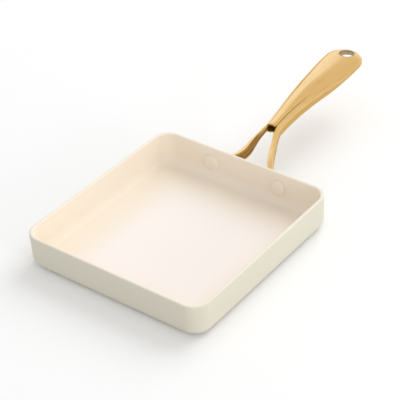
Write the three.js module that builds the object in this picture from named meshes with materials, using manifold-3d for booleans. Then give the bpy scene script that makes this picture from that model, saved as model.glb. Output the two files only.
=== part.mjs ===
// Egg pan: a square pressed-aluminium pan with a forked, hollow metal handle held by two rivets.
// Millimetres, +Z up. The pan stands on Z = 0 with its middle on the origin, and the handle points along +Y.

import * as THREE from "three";
import { mergeVertices } from "three/addons/utils/BufferGeometryUtils.js";
import Module from "manifold-3d";

const wasm = await Module();
wasm.setup();

// Driving dimensions

const CLEARANCE = 0.3; // between pieces that touch on the real pan

const PAN_WIDTH = 165; // across the side walls at the rim, half way along
const PAN_LENGTH = 172; // from the front wall to the handle wall at the rim
const PAN_HEIGHT = 29.5; // table to rim
const PAN_TAPER = 4.7; // how much wider the front is than the handle end
const WALL = 2.6;
const FLOOR = 3.4;
const DRAFT = 1; // lean of the walls, degrees
const RIM_CORNER = 12; // plan corner radius at the rim
const FOOT_CORNER = 16; // plan corner radius where the wall meets the bottom bend
const BOTTOM_BEND = 8; // outer radius between wall and base
const RIM_ROUND = 0.9; // rounding of the rim's edges

const PLATE_SIZE = 104; // base plate, square
const PLATE_CORNER = 14;
const PLATE_THICKNESS = 1.2;

const RIVET_SPACING = 66; // between the two rivet axes
const RIVET_HEIGHT = 15.2; // rivet axis above the table
const RIVET_HEAD = 13.6; // inner head diameter
const RIVET_HEAD_RISE = 1.1;
const RIVET_SHANK = 6;
const RIVET_TAIL = 9.5; // outer, closed head diameter
const RIVET_TAIL_RISE = 2.2;

const HANDLE_STANDOFF = 39.5; // pan's back edge to the handle's mouth
const HANDLE_LENGTH = 118.4; // mouth to tip
const MOUTH_TOP = 41.6; // top of the handle at its mouth, above the table
const CREST = 51.6; // top of the handle where its climb flattens out
const CREST_SETBACK = 58; // from there to the tip
const END_RISE = 1.4; // how far the top goes on rising from there to the tip
const MOUTH_WIDTH = 15.2;
const GRIP_WIDTH = 33.2;
const MOUTH_DEPTH = 13; // handle's thickness at the mouth
const MIDDLE_DEPTH = 15.5;
const END_DEPTH = 9;
const HANDLE_SHEET = 1.5; // metal thickness of the handle's two shells
const SECTION_POWER = 2.5; // 2 is an ellipse, more is squarer
const END_POWER = 2.2; // how late the grip thins towards its tip
const SEAM_RISE_MOUTH = 0.82; // seam above mid depth at the mouth, as a part of half the depth
const SEAM_RISE_END = 0.25; // the same at the tip
const TOP_TUCK = 0.42; // how much narrower the top is than the middle, at the mouth

const HANG_BORE = 11.6; // clear hole of the hanging sleeve
const SLEEVE_WALL = 1;
const HANG_EDGE = 10; // hole's axis to the handle's tip

const PAD_THICKNESS = 3.2;
const ARM_LEAD = 7; // where the arm's path starts, inside the grip
const ARM_OVERLAP = 1.5; // how far the arm itself runs on inside the grip
const ARM_TUCK = 0.45; // how far it sits inside the face of the grip there
const ARM_ROOT_DEPTH = 5.4; // across the channel, from its open side to its back
const ARM_MIDDLE_DEPTH = 3.9;
const ARM_ROOT_HEIGHT = 10;
const ARM_MIDDLE_HEIGHT = 8.8;
const ARM_POWER = 2.8;
const ARM_HOLLOW_END = 0.78; // share of the arm that is hollow
const PAD_DIAMETER = 17;
const ARM_KNEE_OUT = 14; // arm's bend: behind the wall, from the middle, above the table
const ARM_KNEE_SIDE = 16;
const ARM_KNEE_HEIGHT = 19.5;

// Places worked out from the dimensions

const lean = Math.tan(THREE.MathUtils.degToRad(DRAFT));
const backOuterY = PAN_LENGTH / 2 - (PAN_HEIGHT - RIVET_HEIGHT) * lean;
const backInnerY = backOuterY - WALL;
const mouthY = PAN_LENGTH / 2 + HANDLE_STANDOFF;
const tipY = mouthY + HANDLE_LENGTH;
const hangY = tipY - HANG_EDGE;
const endRadius = GRIP_WIDTH / 2;

// Solids and meshes

function toSolid(geometry) {
  const bare = new THREE.BufferGeometry();
  bare.setAttribute("position", geometry.getAttribute("position").clone());
  if (geometry.index) bare.setIndex(geometry.index.clone());
  const merged = mergeVertices(bare, 1e-4);
  return new wasm.Manifold(
    new wasm.Mesh({
      numProp: 3,
      vertProperties: new Float32Array(merged.getAttribute("position").array),
      triVerts: new Uint32Array(merged.index.array),
    }),
  );
}

function toGeometry(solid) {
  const mesh = solid.getMesh();
  const geometry = new THREE.BufferGeometry();
  geometry.setAttribute("position", new THREE.BufferAttribute(mesh.vertProperties, 3));
  geometry.setIndex(new THREE.BufferAttribute(mesh.triVerts, 1));
  geometry.computeVertexNormals();
  return geometry;
}

// Skins a row of closed rings, each with the same number of points, and closes both ends with a fan.
// Seen from the first ring towards the last, the points of a ring run anticlockwise.
function loft(rings) {
  const count = rings[0].length;
  const points = rings.flat();
  const middle = (ring) => ring.reduce((sum, p) => sum.add(p), new THREE.Vector3()).divideScalar(count);
  const first = points.push(middle(rings[0])) - 1;
  const last = points.push(middle(rings.at(-1))) - 1;
  const faces = [];
  for (let j = 0; j < count; j++) {
    const next = (j + 1) % count;
    for (let i = 0; i + 1 < rings.length; i++) {
      const a = i * count + j;
      const b = i * count + next;
      faces.push(a, a + count, b, b, a + count, b + count);
    }
    const end = (rings.length - 1) * count;
    faces.push(first, j, next);
    faces.push(last, end + next, end + j);
  }
  const geometry = new THREE.BufferGeometry().setFromPoints(points);
  geometry.setIndex(faces);
  return geometry;
}

function cylinderAlongY(radius, from, to, x, z) {
  const geometry = new THREE.CylinderGeometry(radius, radius, to - from, 40);
  geometry.translate(0, (from + to) / 2, 0);
  geometry.translate(x, 0, z);
  return toSolid(geometry);
}

function piece(name, geometry, color, roughness, metalness) {
  const material = new THREE.MeshStandardMaterial({ color, roughness, metalness });
  const mesh = new THREE.Mesh(geometry, material);
  mesh.name = name;
  return mesh;
}

// Pan body

// A rounded rectangle in plan, run clockwise from above, narrowed towards the handle.
function planRing(width, length, radius, z) {
  const r = Math.max(radius, 0.5);
  const x = width / 2 - r;
  const y = length / 2 - r;
  const corners = [[x, y], [-x, y], [-x, -y], [x, -y]];
  const steps = 9;
  const ring = [];
  corners.forEach(([cx, cy], quarter) => {
    for (let k = 0; k <= steps; k++) {
      const angle = (Math.PI / 2) * (quarter + k / steps);
      const px = cx + r * Math.cos(angle);
      const py = cy + r * Math.sin(angle);
      const narrowing = 1 - (PAN_TAPER / PAN_WIDTH) * (py / PAN_LENGTH);
      ring.push(new THREE.Vector3(px * narrowing, py, z));
    }
  });
  return ring.reverse();
}

// Ring of the wall at a height, set in from the rim outline by the draft and by an extra amount.
function wallRing(z, extra, corner) {
  const inset = (PAN_HEIGHT - z) * lean + extra;
  return planRing(PAN_WIDTH - 2 * inset, PAN_LENGTH - 2 * inset, corner, z);
}

function arcRings(steps, height, radius, thickness, corner) {
  const rings = [];
  for (let k = 0; k <= steps; k++) {
    const angle = ((Math.PI / 2) * k) / steps;
    const drop = radius * (1 - Math.sin(angle));
    const inward = radius * (1 - Math.cos(angle));
    rings.push(wallRing(height + drop, thickness + inward, corner - inward));
  }
  return rings;
}

function panShell() {
  const outside = arcRings(8, 0, BOTTOM_BEND, 0, FOOT_CORNER).reverse();
  const innerBend = BOTTOM_BEND - WALL;
  const inside = arcRings(8, FLOOR, innerBend, WALL, FOOT_CORNER - WALL);
  const rim = [
    wallRing(PAN_HEIGHT - RIM_ROUND, 0, RIM_CORNER),
    wallRing(PAN_HEIGHT - 0.3 * RIM_ROUND, 0.3 * RIM_ROUND, RIM_CORNER - 0.3 * RIM_ROUND),
    wallRing(PAN_HEIGHT, RIM_ROUND, RIM_CORNER - RIM_ROUND),
    wallRing(PAN_HEIGHT, WALL - RIM_ROUND, RIM_CORNER - WALL + RIM_ROUND),
    wallRing(PAN_HEIGHT - 0.3 * RIM_ROUND, WALL - 0.3 * RIM_ROUND, RIM_CORNER - WALL + 0.3 * RIM_ROUND),
    wallRing(PAN_HEIGHT - RIM_ROUND, WALL, RIM_CORNER - WALL),
  ];
  return toSolid(loft([...outside, ...rim, ...inside]));
}

function plateBlock(size, corner, top) {
  return loft([planRing(size, size, corner, -1), planRing(size, size, corner, top)]);
}

function basePlate() {
  const size = PLATE_SIZE;
  const edge = 0.25;
  return loft([
    planRing(size - 2 * edge, size - 2 * edge, PLATE_CORNER - edge, 0),
    planRing(size, size, PLATE_CORNER, edge),
    planRing(size, size, PLATE_CORNER, PLATE_THICKNESS),
  ]);
}

const rivetSides = { rivet_left: -1, rivet_right: 1 };
const rivetX = (side) => (side * RIVET_SPACING) / 2;

function panBody() {
  const recessSize = PLATE_SIZE + 2 * CLEARANCE;
  const recess = plateBlock(recessSize, PLATE_CORNER + CLEARANCE, PLATE_THICKNESS + CLEARANCE);
  let body = panShell().subtract(toSolid(recess));
  for (const side of Object.values(rivetSides)) {
    const bore = RIVET_SHANK / 2 + CLEARANCE;
    body = body.subtract(
      cylinderAlongY(bore, backInnerY - WALL, backOuterY + WALL, rivetX(side), RIVET_HEIGHT),
    );
  }
  return toGeometry(body);
}

// Rivets: flat head inside the pan, shank through wall and pad, domed tail outside

const padInnerY = backOuterY + CLEARANCE;
const padOuterY = padInnerY + PAD_THICKNESS;

function rivet(side) {
  const headY = backInnerY - CLEARANCE;
  const tailY = padOuterY + CLEARANCE;
  const edge = 0.5;
  const profile = [
    [0, headY - RIVET_HEAD_RISE],
    [RIVET_HEAD / 2 - edge, headY - RIVET_HEAD_RISE],
    [RIVET_HEAD / 2, headY - RIVET_HEAD_RISE + edge],
    [RIVET_HEAD / 2, headY],
    [RIVET_SHANK / 2, headY],
    [RIVET_SHANK / 2, tailY],
    [RIVET_TAIL / 2, tailY],
  ].map(([r, y]) => new THREE.Vector2(r, y));
  for (let k = 1; k <= 6; k++) {
    const angle = ((Math.PI / 2) * k) / 6;
    const r = k === 6 ? 0 : (RIVET_TAIL / 2) * Math.cos(angle);
    profile.push(new THREE.Vector2(r, tailY + RIVET_TAIL_RISE * Math.sin(angle)));
  }
  const geometry = new THREE.LatheGeometry(profile, 40);
  geometry.translate(rivetX(side), 0, RIVET_HEIGHT);
  return toGeometry(toSolid(geometry));
}

// Handle: a hollow grip split along a seam into two shells

const ease = (t) => t * t * (3 - 2 * t);
const clamp01 = (t) => Math.min(1, Math.max(0, t));

function gripTop(y) {
  const crestY = tipY - CREST_SETBACK;
  const climb = clamp01((y - mouthY) / (crestY - mouthY));
  const past = clamp01((y - crestY) / CREST_SETBACK);
  return MOUTH_TOP + (CREST - MOUTH_TOP) * Math.sin((Math.PI / 2) * climb) + END_RISE * past * past;
}

function gripWidth(y) {
  const t = clamp01((y - mouthY) / (0.8 * HANDLE_LENGTH));
  return MOUTH_WIDTH + (GRIP_WIDTH - MOUTH_WIDTH) * (0.35 * t + 0.65 * ease(t));
}

function gripDepth(y) {
  const t = clamp01((y - mouthY) / HANDLE_LENGTH);
  const half = 0.45;
  if (t < half) return MOUTH_DEPTH + (MIDDLE_DEPTH - MOUTH_DEPTH) * ease(t / half);
  return MIDDLE_DEPTH + (END_DEPTH - MIDDLE_DEPTH) * ease((t - half) / (1 - half));
}

const gripMiddle = (y) => gripTop(y) - gripDepth(y) / 2;
const alongGrip = (y) => clamp01((y - mouthY) / HANDLE_LENGTH);
const gripTuck = (y) => TOP_TUCK * (1 - ease(alongGrip(y)));

function seamHeight(y) {
  const rise = SEAM_RISE_MOUTH + (SEAM_RISE_END - SEAM_RISE_MOUTH) * ease(alongGrip(y));
  return gripMiddle(y) + (rise * gripDepth(y)) / 2;
}

// One ring of the grip, taken in by the sheet for the hollow, and drawn together round the tip.
function gripRing(y, sheet) {
  const past = clamp01((y - (tipY - endRadius)) / (endRadius - sheet));
  const wide = Math.sqrt(Math.max(1 - past * past, 0.0004));
  const deep = Math.sqrt(Math.max(1 - past ** END_POWER, 0.01));
  const a = Math.max(gripWidth(y) / 2 - sheet, 0.2) * wide;
  const b = Math.max(gripDepth(y) / 2 - sheet, 0.2) * deep;
  const ring = [];
  const count = 36;
  for (let k = 0; k < count; k++) {
    const angle = (2 * Math.PI * k) / count;
    const bend = (v) => Math.sign(v) * Math.abs(v) ** (2 / SECTION_POWER);
    const high = bend(Math.sin(angle));
    const x = a * bend(Math.cos(angle)) * (1 - gripTuck(y) * Math.max(high, 0) ** 2);
    ring.push(new THREE.Vector3(x, y, gripMiddle(y) + b * high));
  }
  return ring;
}

function gripBlock(from, sheet) {
  const straight = tipY - endRadius;
  const rings = [];
  for (let k = 0; k < 16; k++) {
    rings.push(gripRing(from + ((straight - from) * k) / 16, sheet));
  }
  const reach = endRadius - sheet;
  for (let k = 0; k <= 9; k++) {
    rings.push(gripRing(straight + reach * Math.sin(((Math.PI / 2) * k) / 9), sheet));
  }
  return toSolid(loft(rings));
}

// Everything above the seam, raised by an amount, as one thick block.
function aboveSeam(raise) {
  const shape = new THREE.Shape();
  const steps = 24;
  const span = HANDLE_LENGTH + 10;
  for (let k = 0; k <= steps; k++) {
    const y = mouthY - 5 + (span * k) / steps;
    const z = seamHeight(y) + raise;
    if (k === 0) shape.moveTo(y, z);
    else shape.lineTo(y, z);
  }
  shape.lineTo(tipY + 5, CREST + 20);
  shape.lineTo(mouthY - 5, CREST + 20);
  const block = new THREE.ExtrudeGeometry(shape, { depth: 2 * GRIP_WIDTH, bevelEnabled: false });
  block.rotateX(Math.PI / 2);
  block.rotateZ(Math.PI / 2);
  block.translate(-GRIP_WIDTH, 0, 0);
  return toSolid(block);
}

const sleeveRadius = HANG_BORE / 2 + SLEEVE_WALL;

function hangBore() {
  const geometry = new THREE.CylinderGeometry(sleeveRadius + CLEARANCE, sleeveRadius + CLEARANCE, 60, 48);
  geometry.rotateX(Math.PI / 2);
  geometry.translate(0, hangY, gripMiddle(hangY));
  return toSolid(geometry);
}

const gripShell = gripBlock(mouthY, 0).subtract(gripBlock(mouthY - 2, HANDLE_SHEET)).subtract(hangBore());

function upperShell() {
  return toGeometry(gripShell.intersect(aboveSeam(CLEARANCE)));
}

// Fork arms: channels open towards each other, which carry on the grip's sides, spread, and end at the rivet pads

function armDepth(t) {
  const depth = ARM_ROOT_DEPTH + (ARM_MIDDLE_DEPTH - ARM_ROOT_DEPTH) * ease(clamp01(t / 0.6));
  return depth + (PAD_THICKNESS - depth) * ease(clamp01((t - 0.7) / 0.3));
}

const armHeight = (t) => ARM_ROOT_HEIGHT + (ARM_MIDDLE_HEIGHT - ARM_ROOT_HEIGHT) * ease(clamp01(t / 0.6));

// The path runs along the middle of the channel's back.
function armPath(side) {
  const flush = (y) => side * (gripWidth(y) / 2 - ARM_TUCK);
  const low = (y) => gripMiddle(y) - 0.06 * gripDepth(y);
  const root = mouthY + ARM_LEAD;
  const knee = new THREE.Vector3(side * ARM_KNEE_SIDE, PAN_LENGTH / 2 + ARM_KNEE_OUT, ARM_KNEE_HEIGHT);
  const fork = new THREE.Vector3(flush(mouthY), mouthY, low(mouthY));
  const pad = new THREE.Vector3(rivetX(side), padOuterY, RIVET_HEIGHT);
  return new THREE.CatmullRomCurve3(
    [
      new THREE.Vector3(flush(root), root, low(root)),
      fork,
      knee.clone().lerp(fork, 0.45).add(new THREE.Vector3(-side * 0.8, 0, 0.6)),
      knee,
      knee.clone().lerp(pad, 0.55).add(new THREE.Vector3(0, -2.6, -0.6)),
      pad.clone().add(new THREE.Vector3(-side * PAD_DIAMETER * 0.2, 0, 0)),
      pad,
    ],
    false,
    "centripetal",
  );
}

// A row of half-round sections along the arm, from its back inwards, taken in by the sheet for the hollow.
function armBlock(side, sheet, end) {
  const path = armPath(side);
  const start = (ARM_LEAD - ARM_OVERLAP) / path.getLength();
  const up = new THREE.Vector3(0, 0, 1);
  const rings = [];
  const steps = 22;
  const corners = 10;
  const bend = (v) => Math.sign(v) * Math.abs(v) ** (2 / ARM_POWER);
  for (let k = 0; k <= steps; k++) {
    const t = start + ((end - start) * k) / steps;
    const at = path.getPointAt(t);
    const along = path.getTangentAt(t);
    if (at.y < padOuterY + 0.05) along.set(side, 0, 0);
    const outwards = new THREE.Vector3().crossVectors(along, up).normalize().multiplyScalar(-side);
    const tall = new THREE.Vector3().crossVectors(along, outwards).normalize().multiplyScalar(side);
    const depth = armDepth(t);
    const runOut = sheet > 0 ? 1 - ease(clamp01((t / end - 0.6) / 0.4)) : 1;
    const ring = [];
    for (let c = 0; c <= corners; c++) {
      const angle = Math.PI * (c / corners - 0.5);
      const out = (depth - sheet) * runOut * bend(Math.cos(angle)) - depth;
      const high = (armHeight(t) / 2 - sheet) * bend(Math.sin(angle));
      ring.push(at.clone().addScaledVector(outwards, out).addScaledVector(tall, high));
    }
    if (sheet > 0) {
      const open = -depth - 1;
      const high = armHeight(t) / 2 - sheet;
      ring.push(at.clone().addScaledVector(outwards, open).addScaledVector(tall, high));
      ring.push(at.clone().addScaledVector(outwards, open).addScaledVector(tall, -high));
    }
    rings.push(side > 0 ? ring.reverse() : ring);
  }
  return toSolid(loft(rings));
}

function arm(side) {
  return armBlock(side, 0, 1).subtract(armBlock(side, HANDLE_SHEET, ARM_HOLLOW_END));
}

function pad(side) {
  return cylinderAlongY(PAD_DIAMETER / 2, padInnerY, padOuterY, rivetX(side), RIVET_HEIGHT);
}

function lowerShell() {
  let shell = gripShell.subtract(aboveSeam(0));
  const wallSide = toSolid(new THREE.BoxGeometry(400, 40, 200).translate(0, padInnerY - 20, 0));
  for (const side of Object.values(rivetSides)) {
    const strap = arm(side).add(pad(side)).subtract(wallSide).subtract(aboveSeam(0));
    const x = rivetX(side);
    const bore = cylinderAlongY(RIVET_SHANK / 2 + CLEARANCE, padInnerY - 5, padOuterY + 5, x, RIVET_HEIGHT);
    const seat = cylinderAlongY(RIVET_TAIL / 2 + CLEARANCE, padOuterY, padOuterY + 20, x, RIVET_HEIGHT);
    shell = shell.add(strap).subtract(bore).subtract(seat);
  }
  return toGeometry(shell);
}

function hangSleeve() {
  const top = gripTop(hangY);
  const bottom = top - gripDepth(hangY);
  const edge = 0.35;
  const inner = HANG_BORE / 2;
  const profile = [
    [inner, bottom + edge],
    [inner + edge, bottom],
    [sleeveRadius - edge, bottom],
    [sleeveRadius, bottom + edge],
    [sleeveRadius, top - edge],
    [sleeveRadius - edge, top],
    [inner + edge, top],
    [inner, top - edge],
    [inner, bottom + edge],
  ].map(([r, z]) => new THREE.Vector2(r, z));
  const geometry = new THREE.LatheGeometry(profile, 48);
  geometry.rotateX(Math.PI / 2);
  geometry.translate(0, hangY, 0);
  return toGeometry(toSolid(geometry));
}

// Assembly

const CREAM = 0xf3e8d6;
const GOLD = 0xdcb46c;
const STEEL = 0xb9bbbd;

const eggPan = new THREE.Group();
eggPan.name = "egg_pan";
eggPan.add(piece("pan_body", panBody(), CREAM, 0.4, 0));
eggPan.add(piece("base_plate", toGeometry(toSolid(basePlate())), STEEL, 0.35, 1));
eggPan.add(piece("handle_lower_shell", lowerShell(), GOLD, 0.3, 1));
eggPan.add(piece("handle_upper_shell", upperShell(), GOLD, 0.3, 1));
eggPan.add(piece("hang_sleeve", hangSleeve(), GOLD, 0.3, 1));
for (const [name, side] of Object.entries(rivetSides)) {
  eggPan.add(piece(name, rivet(side), CREAM, 0.4, 0));
}

export default eggPan;
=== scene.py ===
"""Egg pan: the looks of a square coated pan with a forked gold handle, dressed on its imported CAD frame."""

import math

import bmesh
import bpy
from mathutils import Matrix, Vector
from mathutils.geometry import interpolate_bezier


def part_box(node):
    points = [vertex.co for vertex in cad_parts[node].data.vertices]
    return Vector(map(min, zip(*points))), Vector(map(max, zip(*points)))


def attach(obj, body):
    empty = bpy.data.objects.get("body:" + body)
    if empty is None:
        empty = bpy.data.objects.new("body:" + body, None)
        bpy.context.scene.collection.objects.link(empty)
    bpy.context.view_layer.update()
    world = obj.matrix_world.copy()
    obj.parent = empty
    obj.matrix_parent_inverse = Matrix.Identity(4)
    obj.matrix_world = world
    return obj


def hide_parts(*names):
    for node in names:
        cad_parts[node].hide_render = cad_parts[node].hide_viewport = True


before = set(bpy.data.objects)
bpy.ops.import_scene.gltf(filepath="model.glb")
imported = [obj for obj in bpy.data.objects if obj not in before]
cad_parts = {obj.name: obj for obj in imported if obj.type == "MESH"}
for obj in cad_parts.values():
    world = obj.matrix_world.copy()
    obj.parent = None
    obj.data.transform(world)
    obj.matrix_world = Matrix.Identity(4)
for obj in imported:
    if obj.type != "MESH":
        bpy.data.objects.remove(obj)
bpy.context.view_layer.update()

MM = 0.001

# Pan

PAN_LOW, PAN_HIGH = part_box("pan_body")
PAN_LENGTH = PAN_HIGH.y - PAN_LOW.y
PAN_HEIGHT = PAN_HIGH.z
PAN_WIDTH = 165 * MM
PAN_TAPER = 4.7 * MM  # how much the plan draws in towards the handle
WALL = 2.6 * MM
FLOOR = 3.4 * MM
DRAFT = math.radians(1)
RIM_CORNER = 12 * MM
RIM_ROUND = 1.0 * MM
BOTTOM_BEND = 8 * MM
INSIDE_BEND = 7.4 * MM
CREASE_ANGLE = 76  # degrees of the inside bend before it meets the floor in a faint crease
CORNER_STEPS = 14
BEND_STEPS = 10
CREASE_STEPS = 9
RIM_STEPS = 5
WALL_ROWS = (0.35, 0.7)
FLAT_INSET = 2 * MM

# Base plate

PLATE_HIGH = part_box("base_plate")[1]
PLATE_CORNER = 14 * MM
PLATE_CLEARANCE = 0.3 * MM
RING_INSET = 1 * MM

# Rivets

RIVET_HEAD = 14.6 * MM
RIVET_HEAD_RISE = 1.3 * MM
RIVET_FACE = 11 * MM
RIVET_FLAT = 0.45
RIVET_CROWN = 0.05 * MM
RIVET_BREAK = 0.08 * MM
RIVET_LIP = ((0.4 * MM, 0.75 * MM), (0.1 * MM, 0.35 * MM))  # (set in from the edge, rise from the wall)
RIVET_SEAT = 0.05 * MM
RIVET_SHANK = 6 * MM
RIVET_TAIL = 9.5 * MM
RIVET_TAIL_RISE = 2.2 * MM
RIVET_TAIL_STEPS = 8

# Handle

UPPER_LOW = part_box("handle_upper_shell")[0]
LOWER_LOW, LOWER_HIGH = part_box("handle_lower_shell")
SLEEVE_LOW, SLEEVE_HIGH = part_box("hang_sleeve")
MOUTH_Y = UPPER_LOW.y
TIP_Y = LOWER_HIGH.y
HANDLE_LENGTH = TIP_Y - MOUTH_Y
HANDLE_SHEET = 1.5 * MM
CREST = 51.6 * MM  # height of the grip's top where its climb ends
CREST_SETBACK = 58 * MM
END_RISE = 1.4 * MM
MOUTH_TOP = 41.6 * MM
MOUTH_WIDTH = 15.2 * MM
GRIP_WIDTH = 33.2 * MM
WIDEST_AT = 0.8
WIDTH_STRAIGHT = 0.35  # share of the widening that runs straight, the rest eases in and out
MOUTH_DEPTH = 13 * MM
MIDDLE_DEPTH = 15.5 * MM
END_DEPTH = 9 * MM
DEEPEST_AT = 0.45
SECTION_POWER = 2.5  # 2 is an ellipse, more is squarer
MOUTH_CROWN = 2.5
GRIP_CROWN = 1.85
CROWN_SETTLED_AT = 0.5
TOP_TUCK = 0.42  # share by which the section's top narrows at the mouth
END_RADIUS = GRIP_WIDTH / 2
END_POWER = 2.2
TIP_WIDTH_LEFT = 0.0004  # square of the share of its width that the very tip keeps
TIP_DEPTH_LEFT = 0.01
SEAM_RISE_MOUTH = 0.82  # height of the seam above the grip's middle, in half depths
SEAM_RISE_END = 0.25
SEAM_GAP = 0.4 * MM
SEAM_CLOSED_AT = 0.5
MOUTH_ARCH = 3.5 * MM  # how far the underside draws back between the arms
ARCH_FADE = 6
TONGUE = 2.2 * MM  # how far the top reaches past the mouth
BODY_STEPS = 40
TIP_STEPS = 14
SECTION_STEPS = 50

# Hanging hole

HANG_Y = (SLEEVE_LOW.y + SLEEVE_HIGH.y) / 2
HANG_BORE = 11.6 * MM
SLEEVE_WALL = 1.0 * MM
SLEEVE_ROUND = 0.7 * MM
SLEEVE_ROUND_STEPS = 4
DISH_RISE = 3.2 * MM  # how far the underside is pressed up round the hole
DISH_EDGE = 14 * MM
DISH_FLAT = 7 * MM
HOLE_OVERLAP = 0.02 * MM
CUTTER_LENGTH = 60 * MM
CUTTER_TURN = 0.02  # keeps the cutter's corners off the handle's middle line
HEIGHT_TRIES = 40

# Fork arms

ARM_LEAD = 7 * MM  # stretch of the grip that sets the way an arm leaves it
ARM_FLUSH_DROP = 0.06
ARM_KNEE = Vector((17.6 * MM, PAN_HIGH.y + 14 * MM, 19.5 * MM))
ARM_ABOVE_KNEE = 0.45
ARM_ABOVE_SHIFT = Vector((-0.8, 0, 0.6)) * MM
ARM_BELOW_KNEE = 0.55
ARM_BELOW_SHIFT = Vector((0, -2.6, -0.6)) * MM
ARM_LANDING = 0.2
ARM_STEPS = 9
ARM_SHARE = 0.45  # the arms carry on from the lower shell's section beyond this share of it
ARM_SHARE_SLACK = 0.001
ARM_POWER = 2.8
ARM_MIDDLE_DEPTH = 5.0 * MM
ARM_MIDDLE_HEIGHT = 8.4 * MM
ARM_LOWER_DROP = 2.0 * MM
ARM_SETTLED_AT = 0.32
ARM_FLAT_FROM = 0.7
PAD_DIAMETER = 17 * MM
PAD_THICKNESS = 3.2 * MM
PAD_BACK = 0.25 * MM
PAD_ROUND = 0.9 * MM
PAD_ROUND_STEPS = 5
PAD_CHAMFER = 0.2 * MM

# Finishes

COAT_SPECULAR = 0.45
PEEL_DEPTH = 0.2 * MM
FLECK_COLOUR = (205, 188, 163)
FLECK_FADE = (0.66, 0.78)
LIT_FLOOR_SHIFT = (-0.08, 0.09, 0)  # the cooking floor's paler middle, painted light, in halves of the pan's size
LIT_FLOOR_CORNER = 0.2
LIT_FLOOR_FADE = (0.45, 0.9)
# painted light and shade: the gold's colour on side-facing and on top-facing faces
GOLD_SHADED_SIDE = (208, 169, 94)
GOLD_LIT_TOP = (250, 217, 159)
GOLD_LIT_TOP_FADE = (0.15, 0.9)
GRAIN_DEPTH = 0.1 * MM

# View

CAMERA_AZIMUTH = math.radians(39.43)
CAMERA_ELEVATION = math.radians(35.79)
CAMERA_ROLL = math.radians(-3.84)
CAMERA_TARGET = Vector((-0.0047, 0.0320, 0.0200))
CAMERA_DISTANCE = 1.2338
CAMERA_LENS = 142.8
CAMERA_SENSOR = 36
CAMERA_REACH = 50

# Lighting

WHITE = (1, 1, 1, 1)
SKY_STRENGTH = 0.72
LAMP_TARGET = Vector((0, 0.02, 0.02))
PAPER_HALF = 6.0
PAPER_DROP = 0.2 * MM
PAPER_SEEN = (0.97, 0.97, 0.97, 1)
PAPER_SOAKED = (0.6, 0.6, 0.6, 1)
PAPER_GLOW = 0.05
PAPER_MIRRORED_GLOW = 0.3
# a glowing board, seen only in the metal, as a painted reflection
BOARD_SIZE = (2.2, 2.0, 1)
BOARD_TURN = math.radians(35)
BOARD_PLACE = (0.45, 1.38, 1.0)
BOARD_GLOW = (0.72, 0.62, 0.47, 1)
PAINT_ROUGHNESS = 0.9

# Shapes

ROUND_STEPS = 64
SHARP_ANGLE = math.radians(35)
WELD = 1e-6


def ease(t):
    return t * t * (3 - 2 * t)


def clamp01(t):
    return min(1.0, max(0.0, t))


def round_off(value, power):
    """A sine or cosine pushed outwards, which makes a circle squarer."""
    return math.copysign(abs(value) ** (2 / power), value)


def arc(radius, start, stop, steps):
    """Points of (right, up) along an arc about the origin, angles in degrees."""
    angles = [math.radians(start + (stop - start) * k / steps) for k in range(steps + 1)]
    return [(radius * math.cos(a), radius * math.sin(a)) for a in angles]


def extrude_ring(bm, edges):
    """Extrudes a row of edges and returns the new row's vertices and edges."""
    made = bmesh.ops.extrude_edge_only(bm, edges=edges)["geom"]
    verts = [item for item in made if isinstance(item, bmesh.types.BMVert)]
    fresh = set(verts)
    row = [edge for vert in verts for edge in vert.link_edges if edge.other_vert(vert) in fresh]
    return verts, list(set(row))


def lathe(bm, profile, centre, axis):
    """Spins a profile of (radius, height) points about an axis through a centre."""
    along = Vector(axis)
    out = Vector((1, 0, 0))
    points = [centre + out * radius + along * height for radius, height in profile]
    line = [bmesh.ops.create_vert(bm, co=points[0])["vert"][0]]
    edges = []
    for point in points[1:]:
        made = bmesh.ops.extrude_vert_indiv(bm, verts=[line[-1]])
        line.append(made["verts"][0])
        edges.append(made["edges"][0])
        line[-1].co = point
    before = set(bm.faces)
    bmesh.ops.spin(
        bm,
        geom=line + edges,
        axis=along,
        cent=centre,
        angle=2 * math.pi,
        steps=ROUND_STEPS,
        use_merge=True,
    )
    fresh = [face for face in bm.faces if face not in before]
    bmesh.ops.remove_doubles(bm, verts=list({vert for face in fresh for vert in face.verts}), dist=WELD)
    bmesh.ops.recalc_face_normals(bm, faces=[face for face in bm.faces if face not in before])


def new_object(name, bm, materials=()):
    """Makes an object of a finished bmesh, with its materials."""
    mesh = bpy.data.meshes.new(name)
    bm.to_mesh(mesh)
    bm.free()
    for material in materials:
        mesh.materials.append(material)
    obj = bpy.data.objects.new(name, mesh)
    bpy.context.collection.objects.link(obj)
    return obj


def finish_piece(name, bm, nodes, materials):
    """Makes the object, shades it smooth up to an angle, and puts it in the place of CAD nodes."""
    obj = new_object(name, bm, materials)
    for face in obj.data.polygons:
        face.use_smooth = True
    obj.data.set_sharp_from_angle(angle=SHARP_ANGLE)
    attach(obj, "root")
    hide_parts(*nodes)


# Materials


def srgb(red, green, blue):
    """A colour as it is seen on screen, 0 to 255, in Blender's linear numbers."""
    def line(value):
        part = value / 255
        return part / 12.92 if part <= 0.04045 else ((part + 0.055) / 1.055) ** 2.4
    return (line(red), line(green), line(blue), 1.0)


class Wire:
    """A shader socket that takes part in sums."""

    def __init__(self, nodes, socket):
        self.nodes = nodes
        self.socket = socket

    def beside(self, name):
        """Another output of the same node."""
        return Wire(self.nodes, self.socket.node.outputs[name])

    def math(self, operation, first, second):
        return self.nodes.node("ShaderNodeMath", {"operation": operation}, {0: first, 1: second})

    def __add__(self, other):
        return self.math("ADD", self, other)

    def __radd__(self, other):
        return self.math("ADD", other, self)

    def __sub__(self, other):
        return self.math("SUBTRACT", self, other)

    def __rsub__(self, other):
        return self.math("SUBTRACT", other, self)

    def __mul__(self, other):
        return self.math("MULTIPLY", self, other)

    def __rmul__(self, other):
        return self.math("MULTIPLY", other, self)


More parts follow.
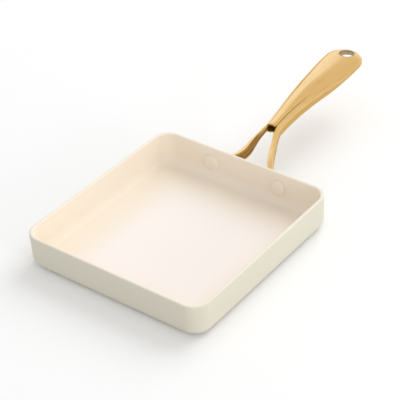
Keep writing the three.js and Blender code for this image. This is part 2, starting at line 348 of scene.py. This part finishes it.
class Nodes:
    """The shader nodes of a material or a world, with one way to add any node."""

    def __init__(self, owner):
        owner.use_nodes = True
        self.tree = owner.node_tree

    def node(self, kind, settings, values, output=0):
        node = self.tree.nodes.new(kind)
        for key, value in settings.items():
            setattr(node, key, value)
        for key, value in values.items():
            self.feed(node.inputs[key], value)
        return Wire(self, node.outputs[output])

    def feed(self, socket, value):
        if isinstance(value, Wire):
            self.tree.links.new(value.socket, socket)
        else:
            socket.default_value = value


class Finish(Nodes):
    """A material with its principled shader, and the patterns that finishes share."""

    def __init__(self, name):
        self.material = bpy.data.materials.new(name)
        super().__init__(self.material)
        self.shader = self.tree.nodes["Principled BSDF"]

    def set(self, **values):
        for key, value in values.items():
            self.feed(self.shader.inputs[key.replace("_", " ")], value)

    def place(self, scale=(1, 1, 1)):
        at = self.node("ShaderNodeTexCoord", {}, {}, "Object")
        return self.node("ShaderNodeMapping", {}, {"Vector": at, "Scale": scale})

    def axis(self, vector, name):
        return self.node("ShaderNodeSeparateXYZ", {}, {0: vector}, name)

    def noise(self, where, scale, detail):
        return self.node("ShaderNodeTexNoise", {}, {"Vector": where, "Scale": scale, "Detail": detail})

    def ramp(self, value, low, high, start, stop, kind="LINEAR"):
        values = {0: value, 1: low, 2: high, 3: start, 4: stop}
        return self.node("ShaderNodeMapRange", {"interpolation_type": kind}, values)

    def blend(self, factor, first, second):
        values = {0: factor, 6: first, 7: second}
        return self.node("ShaderNodeMix", {"data_type": "RGBA"}, values, 2)

    def bump(self, height, strength, distance):
        values = {"Height": height, "Strength": strength, "Distance": distance}
        return self.node("ShaderNodeBump", {}, values)


def cream_coating(name, light, deep, rough, fleck, floor=None):
    """Sprayed ceramic coat: orange peel, faint drifts of tone, tiny flecks, and a cooking floor whose middle
    is painted paler as painted light.
    """
    coat = Finish(name)
    where = coat.place()
    drift = coat.noise(where, scale=14, detail=2)
    peel = coat.noise(where, scale=900, detail=2)
    specks = coat.noise(where, scale=2600, detail=1)
    tone = coat.blend(drift, srgb(*light), srgb(*deep))
    if floor:
        # painted light: the floor's middle is paler than its edges by the walls, where shade falls
        tone = coat.blend(painted_light_middle(coat, where), tone, srgb(*floor))
    dots = coat.ramp(specks, *FLECK_FADE, 0.0, fleck)
    coat.set(
        Base_Color=coat.blend(dots, tone, srgb(*FLECK_COLOUR)),
        Roughness=rough + 0.08 * peel,
        Specular_IOR_Level=COAT_SPECULAR,
        Normal=coat.bump(peel, strength=0.12, distance=PEEL_DEPTH),
    )
    return coat.material


def painted_light_middle(coat, where):
    """1 on the middle of the pan's floor, fading to 0 towards its edges and up the walls: the mask of the
    floor's painted light.
    """
    across = (2 / PAN_WIDTH, 2 / PAN_LENGTH, 0)
    middle = coat.node("ShaderNodeMapping", {}, {"Vector": where, "Location": LIT_FLOOR_SHIFT, "Scale": across})
    ways = coat.node("ShaderNodeVectorMath", {"operation": "ABSOLUTE"}, {0: middle})
    sides = {0: coat.axis(ways, "X"), 1: coat.axis(ways, "Y"), 2: LIT_FLOOR_CORNER}
    edge = coat.node("ShaderNodeMath", {"operation": "SMOOTH_MAX"}, sides)
    inner = coat.ramp(edge, *LIT_FLOOR_FADE, 1.0, 0.0, "SMOOTHSTEP")
    flat = coat.ramp(coat.axis(where, "Z"), FLOOR, FLOOR + INSIDE_BEND, 1.0, 0.0)
    return inner * flat


def gold_metal():
    """Satin gold plating with a grain and streaks brushed along the handle, and painted light: paler where it
    faces up, deeper on the sides as painted shade.
    """
    gold = Finish("satin_gold")
    grain = gold.noise(gold.place(scale=(1, 0.035, 1)), scale=1500, detail=2)
    cloud = gold.noise(gold.place(), scale=45, detail=2)
    streak = gold.noise(gold.place(scale=(1, 0.03, 1)), scale=420, detail=3)
    upwards = gold.axis(gold.node("ShaderNodeTexCoord", {}, {}, "Normal"), "Z")
    top = gold.ramp(upwards, *GOLD_LIT_TOP_FADE, 0.0, 1.0, "SMOOTHSTEP")
    uneven = 0.3 * cloud + 0.7 * streak - 0.5
    # painted light by facing, added to the random cloud and brushed streaks
    lit_top_and_streaks = gold.node("ShaderNodeMath", {"operation": "ADD", "use_clamp": True}, {0: top, 1: uneven})
    gold.set(
        Base_Color=gold.blend(lit_top_and_streaks, srgb(*GOLD_SHADED_SIDE), srgb(*GOLD_LIT_TOP)),
        Metallic=1.0,
        Roughness=0.3 + 0.06 * grain,
        Normal=gold.bump(grain, strength=0.02, distance=GRAIN_DEPTH),
    )
    return gold.material


def plain_metal(name, light, deep, rough):
    """Duller, clouded and darker metal: bare metal in the sleeve's bore, and painted shade on the handle
    sheets' insides.
    """
    metal = Finish(name)
    cloud = metal.noise(metal.place(), scale=160, detail=3)
    grain = metal.noise(metal.place(scale=(1, 0.05, 1)), scale=1200, detail=2)
    metal.set(
        Base_Color=metal.blend(cloud, srgb(*light), srgb(*deep)),
        Metallic=1.0,
        Roughness=rough + 0.1 * grain,
        Normal=metal.bump(grain, strength=0.03, distance=GRAIN_DEPTH),
    )
    return metal.material


def turned_steel():
    """Steel plate with the fine rings that turning leaves."""
    steel = Finish("turned_steel")
    rings = steel.node(
        "ShaderNodeTexWave",
        {"wave_type": "RINGS", "rings_direction": "Z", "wave_profile": "SIN"},
        {"Vector": steel.place(), "Scale": 320, "Distortion": 0.4, "Detail": 1.0},
        1,
    )
    steel.set(
        Base_Color=steel.blend(rings, srgb(176, 177, 178), srgb(192, 192, 192)),
        Metallic=1.0,
        Roughness=0.28 + 0.1 * rings,
        Normal=steel.bump(rings, strength=0.1, distance=GRAIN_DEPTH),
    )
    return steel.material


OUTSIDE_COAT = cream_coating("cream_outside", (238, 233, 215), (234, 228, 209), rough=0.42, fleck=0.25)
# the floor colour is painted light on the cooking floor's middle
INSIDE_COAT = cream_coating(
    "cream_inside", (247, 236, 220), (244, 232, 215), rough=0.34, fleck=0.18, floor=(250, 242, 237)
)
GOLD = gold_metal()
# painted shade: the handle sheets' inner faces and the arms' channels are darker where shade falls
SHADED_INSIDE_METAL = plain_metal("painted_shade_inside", (204, 164, 102), (164, 124, 72), rough=0.45)
BORE_METAL = plain_metal("bare_bore", (190, 171, 140), (172, 152, 122), rough=0.34)
STEEL = turned_steel()
SHEET_FINISHES = [GOLD, SHADED_INSIDE_METAL]


# Pan body


def narrow(verts):
    """Draws the pan's plan in towards the handle."""
    for vert in verts:
        vert.co.x *= 1 - PAN_TAPER / PAN_WIDTH * vert.co.y / PAN_LENGTH


def step_ring(bm, edges, inset, height):
    """Extrudes the pan's outline to a height, set in from the rim's outline."""
    verts, row = extrude_ring(bm, edges)
    half_x = max(vert.co.x for vert in verts)
    half_y = max(vert.co.y for vert in verts)
    full_x = PAN_HIGH.x
    full_y = PAN_LENGTH / 2
    wider = ((full_x - inset) / half_x, (full_y - inset) / half_y, 1)
    bmesh.ops.scale(bm, vec=wider, verts=verts)
    bmesh.ops.translate(bm, vec=(0, 0, height - verts[0].co.z), verts=verts)
    return row


def wall_inset(height):
    return (PAN_HEIGHT - height) * math.tan(DRAFT)


def pan_profile():
    """(inset, height) of the outside from the base's edge to the rim, then of the inside to the floor."""
    outside = []
    for right, up in arc(BOTTOM_BEND, -90, 0, BEND_STEPS)[1:]:
        height = BOTTOM_BEND + up
        outside.append((wall_inset(height) + BOTTOM_BEND - right, height))
    for part in WALL_ROWS:
        height = BOTTOM_BEND + part * (PAN_HEIGHT - BOTTOM_BEND)
        outside.append((wall_inset(height), height))
    for right, up in arc(RIM_ROUND, 0, 90, RIM_STEPS):
        outside.append((RIM_ROUND - right, PAN_HEIGHT - RIM_ROUND + up))
    inside = []
    for right, up in arc(RIM_ROUND, 90, 0, RIM_STEPS):
        inside.append((WALL - RIM_ROUND + right, PAN_HEIGHT - RIM_ROUND + up))
    bend_top = FLOOR + INSIDE_BEND
    for part in reversed(WALL_ROWS):
        height = bend_top + part * (PAN_HEIGHT - bend_top)
        inside.append((wall_inset(height) + WALL, height))
    for right, up in arc(INSIDE_BEND, 0, -CREASE_ANGLE, CREASE_STEPS):
        height = bend_top + up / math.sin(math.radians(CREASE_ANGLE))
        inside.append((wall_inset(height) + WALL + INSIDE_BEND - right, height))
    return outside, inside


def lay_out(ring, half, corner):
    """Moves a ring of vertices on to the outline of a square with round corners."""
    def bearing(vert):
        return math.atan2(vert.co.y, vert.co.x)

    for quarter in range(4):
        part = sorted((vert for vert in ring if bearing(vert) // (math.pi / 2) % 4 == quarter), key=bearing)
        way_x = -1 if quarter in (1, 2) else 1
        way_y = -1 if quarter in (2, 3) else 1
        for k, vert in enumerate(part):
            angle = math.pi / 2 * (quarter + k / (len(part) - 1))
            vert.co.x = way_x * (half - corner) + corner * math.cos(angle)
            vert.co.y = way_y * (half - corner) + corner * math.sin(angle)


def plate_recess(bm, bottom):
    """Lets a recess for the base plate into the underside."""
    for height in (0, PLATE_HIGH.z + PLATE_CLEARANCE):
        bmesh.ops.inset_region(bm, faces=bottom, thickness=RING_INSET)
        ring = bottom[0].verts[:]
        lay_out(ring, PLATE_HIGH.y + PLATE_CLEARANCE, PLATE_CORNER + PLATE_CLEARANCE)
        narrow(ring)
        bmesh.ops.translate(bm, vec=(0, 0, height - ring[0].co.z), verts=ring)


def pan_piece():
    """The pan's shell, carried from the base's outline up to the rim and down to the cooking floor."""
    bm = bmesh.new()
    outside, inside = pan_profile()
    inset = wall_inset(0) + BOTTOM_BEND
    base = (PAN_WIDTH - 2 * inset, PAN_LENGTH - 2 * inset, 1)
    bmesh.ops.create_grid(bm, x_segments=1, y_segments=1, size=0.5)
    bmesh.ops.scale(bm, vec=base, verts=bm.verts[:])
    bmesh.ops.bevel(
        bm,
        geom=bm.verts[:],
        offset=RIM_CORNER,
        offset_type="OFFSET",
        affect="VERTICES",
        segments=CORNER_STEPS,
        profile=0.5,
        material=-1,
    )
    narrow(bm.verts)
    bottom = bm.faces[:]
    row = bm.edges[:]
    for inset, height in outside:
        row = step_ring(bm, row, inset, height)
    below = set(bm.faces)
    for inset, height in inside:
        row = step_ring(bm, row, inset, height)
    walls = set(bm.faces)
    bmesh.ops.edgeloop_fill(bm, edges=row)
    floor = [face for face in bm.faces if face not in walls]
    for face in bm.faces:
        face.material_index = 0 if face in below else 1
    bmesh.ops.inset_region(bm, faces=floor, thickness=FLAT_INSET)
    bmesh.ops.inset_region(bm, faces=bottom, thickness=FLAT_INSET)
    plate_recess(bm, bottom)
    bmesh.ops.recalc_face_normals(bm, faces=bm.faces[:])
    finish_piece("pan", bm, ["pan_body"], [OUTSIDE_COAT, INSIDE_COAT])


# Rivets


def rivet_piece(name):
    """A flat head against the pan's inside, a shank through wall and pad, and a domed tail in gold."""
    low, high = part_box(name)
    centre = Vector(((low.x + high.x) / 2, 0, (low.z + high.z) / 2))
    inner = PAN_HIGH.y - wall_inset(centre.z) - WALL
    tail = high.y - RIVET_TAIL_RISE
    front = inner - RIVET_HEAD_RISE
    seat = inner - RIVET_SEAT
    head = [(0, front - RIVET_CROWN), (RIVET_FLAT * RIVET_FACE, front), (RIVET_FACE / 2, front + RIVET_BREAK)]
    head += [(RIVET_HEAD / 2 - set_in, inner - rise) for set_in, rise in RIVET_LIP]
    shank = [(RIVET_HEAD / 2, seat), (RIVET_SHANK / 2, seat), (RIVET_SHANK / 2, tail), (RIVET_TAIL / 2, tail)]
    dome = [
        (RIVET_TAIL / 2 * right, tail + RIVET_TAIL_RISE * up)
        for right, up in arc(1, 0, 90, RIVET_TAIL_STEPS)[1:-1]
    ]
    dome.append((0, high.y))
    bm = bmesh.new()
    lathe(bm, head + shank + dome, centre, (0, 1, 0))
    for face in bm.faces:
        face.material_index = 1 if face.calc_center_median().y > inner + WALL else 0
    finish_piece(name + "_head", bm, [name], [INSIDE_COAT, GOLD])


# Handle grip


def along_grip(y):
    return clamp01((y - MOUTH_Y) / HANDLE_LENGTH)


def grip_top(y):
    crest_y = TIP_Y - CREST_SETBACK
    climb = clamp01((y - MOUTH_Y) / (crest_y - MOUTH_Y))
    past = clamp01((y - crest_y) / CREST_SETBACK)
    return MOUTH_TOP + (CREST - MOUTH_TOP) * math.sin(math.pi / 2 * climb) + END_RISE * past * past


def grip_width(y):
    t = clamp01((y - MOUTH_Y) / (WIDEST_AT * HANDLE_LENGTH))
    widened = WIDTH_STRAIGHT * t + (1 - WIDTH_STRAIGHT) * ease(t)
    return MOUTH_WIDTH + (GRIP_WIDTH - MOUTH_WIDTH) * widened


def grip_depth(y):
    t = along_grip(y)
    if t < DEEPEST_AT:
        return MOUTH_DEPTH + (MIDDLE_DEPTH - MOUTH_DEPTH) * ease(t / DEEPEST_AT)
    return MIDDLE_DEPTH + (END_DEPTH - MIDDLE_DEPTH) * ease((t - DEEPEST_AT) / (1 - DEEPEST_AT))


def grip_middle(y):
    return grip_top(y) - grip_depth(y) / 2


def crown_power(y):
    """How square the grip's top is: flat over the mouth, ridged further on."""
    return MOUTH_CROWN + (GRIP_CROWN - MOUTH_CROWN) * ease(clamp01(along_grip(y) / CROWN_SETTLED_AT))


def seam_turn(y):
    """Angle of the seam round the grip's section, up from the side."""
    rise = SEAM_RISE_MOUTH + (SEAM_RISE_END - SEAM_RISE_MOUTH) * ease(along_grip(y))
    return math.asin(rise ** (crown_power(y) / 2))


def grip_point(y, turn):
    """A point of the grip's outside, at an angle round its section, drawn together round the tip."""
    past = clamp01((y - (TIP_Y - END_RADIUS)) / END_RADIUS)
    wide = grip_width(y) / 2 * math.sqrt(max(1 - past * past, TIP_WIDTH_LEFT))
    deep = grip_depth(y) / 2 * math.sqrt(max(1 - past ** END_POWER, TIP_DEPTH_LEFT))
    power = crown_power(y) if 0 < turn < math.pi else SECTION_POWER
    high = round_off(math.sin(turn), power)
    tuck = TOP_TUCK * (1 - ease(along_grip(y)))
    x = wide * round_off(math.cos(turn), power) * (1 - tuck * max(high, 0) ** 2)
    pressed = dish(x, y) * (2 * deep / grip_depth(y)) ** 2
    return Vector((x, y, grip_middle(y) + deep * high + pressed * max(-high, 0)))


def dish(x, y):
    """How far the underside is pressed up round the hanging hole."""
    reach = math.hypot(x, y - HANG_Y)
    return DISH_RISE * ease(clamp01((DISH_EDGE - reach) / (DISH_EDGE - DISH_FLAT)))


def grip_stations():
    straight = TIP_Y - END_RADIUS
    body = [MOUTH_Y + (straight - MOUTH_Y) * k / BODY_STEPS for k in range(BODY_STEPS)]
    tip = [straight + END_RADIUS * math.sin(math.pi / 2 * k / TIP_STEPS) for k in range(TIP_STEPS + 1)]
    return body + tip


def shell_turn(y, across, upper):
    """Angle round the section of a point of one shell; across runs from -1 at one seam to 1 at the other."""
    gap = SEAM_GAP / 2 * (1 - ease(clamp01(along_grip(y) / SEAM_CLOSED_AT))) / (grip_depth(y) / 2)
    if upper:
        return math.pi / 2 - across * (math.pi / 2 - seam_turn(y) - gap)
    return -math.pi / 2 + across * (math.pi / 2 + seam_turn(y) - gap)


def arched(y, across):
    """Draws the underside's edge back between the arms."""
    arch = MOUTH_ARCH * math.cos(math.pi / 2 * min(1, abs(across) / ARM_SHARE)) ** 2
    return y + arch * (1 - ease(clamp01((y - MOUTH_Y) / (ARCH_FADE * MOUTH_ARCH))))


def grip_skin(bm, upper):
    """One shell's outside: an arc of the section, carried from the mouth to the tip."""
    across = bm.verts.layers.float.new("across")
    # A chain of edges, whose first shape doesn't matter: the stations lay its points out
    vert = bmesh.ops.create_vert(bm, co=(1, 0, 0))["vert"][0]
    bmesh.ops.spin(bm, geom=[vert], axis=(0, 1, 0), cent=(0, 0, 0), angle=1.0, steps=SECTION_STEPS)
    bm.verts.ensure_lookup_table()
    for k, item in enumerate(bm.verts):
        item[across] = 2 * k / SECTION_STEPS - 1
    mouth = bm.edges[:]
    row = mouth
    verts = bm.verts[:]
    stations = grip_stations()
    if upper:
        stations.insert(0, MOUTH_Y - TONGUE)
    for k, y in enumerate(stations):
        if k > 0:
            verts, row = extrude_ring(bm, row)
        for item in verts:
            at = y if upper else arched(y, item[across])
            item.co = grip_point(at, shell_turn(at, item[across], upper))
    return mouth, across


def face_outwards(bm):
    """Turns a skin's faces so that those of the grip look away from its middle."""
    bmesh.ops.recalc_face_normals(bm, faces=bm.faces[:])
    halfway = MOUTH_Y + HANDLE_LENGTH / 2
    test = min(bm.faces, key=lambda face: abs(face.calc_center_median().y - halfway))
    centre = test.calc_center_median()
    if test.normal.dot(centre - Vector((0, centre.y, grip_middle(centre.y)))) < 0:
        bmesh.ops.reverse_faces(bm, faces=bm.faces[:])


def sheet_metal(name, bm):
    """Gives a skin its sheet's thickness and cuts the hanging hole through it."""
    face_outwards(bm)
    blank = new_object(name, bm, SHEET_FINISHES)
    sheet = blank.modifiers.new("sheet", "SOLIDIFY")
    sheet.thickness = HANDLE_SHEET
    sheet.offset = -1
    sheet.use_even_offset = False
    # the inner faces take the second finish, the darker metal of painted shade
    sheet.material_offset = 1
    cutter = hang_cutter()
    hole = blank.modifiers.new("hole", "BOOLEAN")
    hole.operation = "DIFFERENCE"
    hole.solver = "EXACT"
    hole.object = cutter
    bpy.context.view_layer.update()
    made = bpy.data.meshes.new_from_object(blank.evaluated_get(bpy.context.evaluated_depsgraph_get()))
    bm = bmesh.new()
    bm.from_mesh(made)
    for item in (blank, cutter):
        bpy.data.objects.remove(item)
    return bm


def hang_cutter():
    """A rod a hair thinner than the sleeve, so that the sleeve covers the cut edge."""
    bm = bmesh.new()
    radius = HANG_BORE / 2 + SLEEVE_WALL - HOLE_OVERLAP
    middle = Matrix.Translation((0, HANG_Y, grip_middle(HANG_Y)))
    bmesh.ops.create_cone(
        bm,
        cap_ends=True,
        segments=ROUND_STEPS,
        radius1=radius,
        radius2=radius,
        depth=CUTTER_LENGTH,
        matrix=middle @ Matrix.Rotation(CUTTER_TURN, 4, "Z"),
    )
    return new_object("hang_cutter", bm)


# Fork arms


def sided(vector, side):
    """A vector given for the right arm, for the arm on a side."""
    return Vector((side * vector.x, vector.y, vector.z))


def pad_centre(side):
    low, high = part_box("rivet_right" if side > 0 else "rivet_left")
    return Vector(((low.x + high.x) / 2, LOWER_LOW.y + PAD_THICKNESS, (low.z + high.z) / 2))


def arm_route(side):
    """Points along the middle of an arm's back, from the mouth to the rivet."""
    def flush(y):
        return Vector((side * grip_width(y) / 2, y, grip_middle(y) - ARM_FLUSH_DROP * grip_depth(y)))

    pad = pad_centre(side)
    knee = sided(ARM_KNEE, side)
    fork = flush(MOUTH_Y)
    points = [
        flush(MOUTH_Y + ARM_LEAD),
        fork,
        knee.lerp(fork, ARM_ABOVE_KNEE) + sided(ARM_ABOVE_SHIFT, side),
        knee,
        knee.lerp(pad, ARM_BELOW_KNEE) + ARM_BELOW_SHIFT,
        pad - Vector((side * ARM_LANDING * PAD_DIAMETER, 0, 0)),
        pad,
    ]
    return smooth_route(points, ARM_STEPS)[ARM_STEPS - 1:]


def smooth_route(points, steps):
    """Points along one smooth curve through the given ones."""
    route = []
    for k in range(len(points) - 1):
        here, there = points[k], points[k + 1]
        before = points[max(k - 1, 0)]
        after = points[min(k + 2, len(points) - 1)]
        span = (there - here).length
        leave = (there - before).normalized() * span / 3
        arrive = (after - here).normalized() * span / 3
        route += interpolate_bezier(here, here + leave, there - arrive, there, steps)[:-1]
    return route + [points[-1]]


def arm_skin(bm, mouth, across, side):
    """Carries one side of the grip on as a channel that spreads, turns, and runs flat to its rivet."""
    least = ARM_SHARE - ARM_SHARE_SLACK
    row = [edge for edge in mouth if min(side * vert[across] for vert in edge.verts) > least]
    route = arm_route(side)
    start = {}
    for vert in {vert for edge in row for vert in edge.verts}:
        start[vert[across]] = (side * (vert.co.x - route[0].x), vert.co.z - route[0].z)
    for k in range(1, len(route)):
        verts, row = extrude_ring(bm, row)
        t = k / (len(route) - 1)
        along = (route[min(k + 1, len(route) - 1)] - route[k - 1]).normalized()
        outwards = -side * along.cross(Vector((0, 0, 1))).normalized()
        tall = side * along.cross(outwards).normalized()
        flattened = ease(clamp01((t - ARM_FLAT_FROM) / (1 - ARM_FLAT_FROM)))
        depth = ARM_MIDDLE_DEPTH + (PAD_THICKNESS - ARM_MIDDLE_DEPTH) * flattened
        settled = ease(clamp01(t / ARM_SETTLED_AT))
        for vert in verts:
            share = (side * vert[across] - ARM_SHARE) / (1 - ARM_SHARE)
            angle = math.pi * (share - 0.5)
            reach = ARM_MIDDLE_HEIGHT / 2 + (ARM_LOWER_DROP if angle < 0 else 0)
            channel_out = depth * round_off(math.cos(angle), ARM_POWER) - depth
            channel_up = reach * round_off(math.sin(angle), ARM_POWER)
            grip_out, grip_up = start[vert[across]]
            out = grip_out + (channel_out - grip_out) * settled
            up = grip_up + (channel_up - grip_up) * settled
            vert.co = route[k] + outwards * out + tall * up


def arm_pad(bm, side):
    """The round pad under a rivet, its back edge rounded over."""
    centre = pad_centre(side)
    near = LOWER_LOW.y - centre.y
    radius = PAD_DIAMETER / 2
    profile = [(0, near), (radius - PAD_CHAMFER, near), (radius, near + PAD_CHAMFER)]
    for right, up in arc(PAD_ROUND, 0, 90, PAD_ROUND_STEPS):
        profile.append((radius - PAD_ROUND + right, PAD_BACK - PAD_ROUND + up))
    profile.append((0, PAD_BACK))
    lathe(bm, profile, centre, (0, 1, 0))


def lower_piece():
    """The handle's underside, with both arms and their pads."""
    bm = bmesh.new()
    mouth, across = grip_skin(bm, False)
    for side in (-1, 1):
        arm_skin(bm, mouth, across, side)
    bm = sheet_metal("lower_shell", bm)
    for side in (-1, 1):
        arm_pad(bm, side)
    finish_piece("handle_underside", bm, ["handle_lower_shell"], SHEET_FINISHES)


def upper_piece():
    """The handle's top, which ends in a tongue over the mouth."""
    bm = bmesh.new()
    grip_skin(bm, True)
    bm = sheet_metal("upper_shell", bm)
    finish_piece("handle_top", bm, ["handle_upper_shell"], SHEET_FINISHES)


# Hanging sleeve


def surface_height(x, y, way):
    """Height of the grip's top (way 1) or underside (way -1) over a point in plan."""
    low, high = 0.0, math.pi / 2
    for _ in range(HEIGHT_TRIES):
        middle = (low + high) / 2
        if grip_point(y, way * middle).x > abs(x):
            low = middle
        else:
            high = middle
    return grip_point(y, way * low).z


def sleeve_piece():
    """A tube through the grip, its ends trimmed to the grip's face and rounded over into the bore."""
    inner = HANG_BORE / 2
    outer = inner + SLEEVE_WALL
    end = 1  # the tube is spun far too long, then each end is drawn in to the grip's face
    bend = arc(SLEEVE_ROUND, 0, 90, SLEEVE_ROUND_STEPS)
    top = [(inner + SLEEVE_ROUND - right, end - SLEEVE_ROUND + up) for right, up in bend]
    foot = [(radius, -height) for radius, height in reversed(top)]
    profile = top + [(outer, end), (outer, -end)] + foot + [top[0]]
    bm = bmesh.new()
    lathe(bm, profile, Vector((0, HANG_Y, 0)), (0, 0, 1))
    for vert in bm.verts:
        way = 1 if vert.co.z > 0 else -1
        face = surface_height(vert.co.x, vert.co.y, way)
        vert.co.z = face + vert.co.z - way * end
    finish_piece("hanging_sleeve", bm, ["hang_sleeve"], [BORE_METAL])


# Studio


def light(name, place, size, power):
    """A soft round lamp aimed at the pan, which the metal doesn't mirror."""
    lamp = bpy.data.lights.new(name, "AREA")
    lamp.shape = "DISK"
    lamp.size = size
    lamp.energy = power
    obj = bpy.data.objects.new(name, lamp)
    obj.visible_glossy = False
    obj.location = place
    obj.rotation_euler = (LAMP_TARGET - Vector(place)).to_track_quat("-Z", "Y").to_euler()
    bpy.context.collection.objects.link(obj)


def studio_floor():
    """White paper that glows a little to the eye and throws less light back on to the pan."""
    paper = Finish("white_paper")
    path = paper.node("ShaderNodeLightPath", {}, {}, "Is Camera Ray")
    mirror = path.beside("Is Glossy Ray")
    soaked = path.beside("Is Diffuse Ray")
    paper.set(Base_Color=paper.blend(soaked, PAPER_SEEN, PAPER_SOAKED), Roughness=PAINT_ROUGHNESS)
    lit = Wire(paper, paper.shader.outputs[0])
    glow = paper.node("ShaderNodeEmission", {}, {"Color": WHITE, "Strength": 1.0})
    share = PAPER_GLOW * path + PAPER_MIRRORED_GLOW * mirror
    both = paper.node("ShaderNodeMixShader", {}, {0: share, 1: lit, 2: glow})
    paper.feed(paper.tree.nodes["Material Output"].inputs["Surface"], both)
    bm = bmesh.new()
    bmesh.ops.create_grid(bm, x_segments=1, y_segments=1, size=PAPER_HALF)
    bmesh.ops.translate(bm, vec=(0, 0, -PAPER_DROP), verts=bm.verts[:])
    floor = new_object("studio_floor", bm, [paper.material])


def warm_board():
    """A glowing board, no lamp, that hangs above the handle, out of the picture, and paints a reflection in
    the metal.
    """
    board = Finish("reflection_glow")
    board.set(
        Base_Color=(0, 0, 0, 1),
        Roughness=PAINT_ROUGHNESS,
        Emission_Color=BOARD_GLOW,
        Emission_Strength=1.0,
    )
    bm = bmesh.new()
    bmesh.ops.create_grid(bm, x_segments=1, y_segments=1, size=0.5)
    bmesh.ops.scale(bm, vec=BOARD_SIZE, verts=bm.verts[:])
    bmesh.ops.rotate(bm, matrix=Matrix.Rotation(BOARD_TURN, 3, "Z"), verts=bm.verts[:])
    bmesh.ops.translate(bm, vec=BOARD_PLACE, verts=bm.verts[:])
    card = new_object("warm_board", bm, [board.material])
    card.visible_camera = False
    card.visible_shadow = False
    card.visible_diffuse = False


def soft_room():
    """A world that lights softly, and looks white to the eye and in reflections."""
    world = bpy.data.worlds.new("soft_room")
    room = Nodes(world)
    sky = room.tree.nodes["Background"]
    room.feed(sky.inputs["Color"], WHITE)
    room.feed(sky.inputs["Strength"], SKY_STRENGTH)
    white = room.node("ShaderNodeBackground", {}, {"Color": WHITE, "Strength": 1.0})
    path = room.node("ShaderNodeLightPath", {}, {}, "Is Camera Ray")
    seen = path
    for name in ("Is Glossy Ray", "Is Transmission Ray"):
        seen = room.node("ShaderNodeMath", {"operation": "MAXIMUM"}, {0: seen, 1: path.beside(name)})
    both = room.node("ShaderNodeMixShader", {}, {0: seen, 1: Wire(room, sky.outputs[0]), 2: white})
    room.feed(room.tree.nodes["World Output"].inputs["Surface"], both)
    bpy.context.scene.world = world


def studio():
    soft_room()
    light("key", place=(0.30, 2.15, 1.95), size=2.6, power=40.0)
    light("side", place=(2.30, -0.45, 0.55), size=0.8, power=11.5)
    studio_floor()
    warm_board()
    bpy.context.scene.view_settings.view_transform = "Standard"


def photo_camera():
    """The view that was fitted to the pan's edges in the photograph."""
    lens = bpy.data.cameras.new("photo_camera")
    lens.sensor_fit = "HORIZONTAL"
    lens.sensor_width = CAMERA_SENSOR
    lens.lens = CAMERA_LENS
    lens.clip_end = CAMERA_REACH
    obj = bpy.data.objects.new("photo_camera", lens)
    level = math.cos(CAMERA_ELEVATION)
    back = Vector((
        math.sin(CAMERA_AZIMUTH) * level,
        -math.cos(CAMERA_AZIMUTH) * level,
        math.sin(CAMERA_ELEVATION),
    ))
    right = Vector((0, 0, 1)).cross(back).normalized()
    up = back.cross(right)
    turned = right * math.cos(CAMERA_ROLL) + up * math.sin(CAMERA_ROLL)
    upright = up * math.cos(CAMERA_ROLL) - right * math.sin(CAMERA_ROLL)
    facing = Matrix((turned, upright, back)).transposed().to_4x4()
    obj.matrix_world = Matrix.Translation(CAMERA_TARGET + back * CAMERA_DISTANCE) @ facing
    bpy.context.collection.objects.link(obj)
    bpy.context.scene.camera = obj


photo_camera()
studio()
pan_piece()
for rivet_name in ("rivet_left", "rivet_right"):
    rivet_piece(rivet_name)
lower_piece()
upper_piece()
sleeve_piece()
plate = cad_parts["base_plate"]
plate.data.materials.clear()
plate.data.materials.append(STEEL)
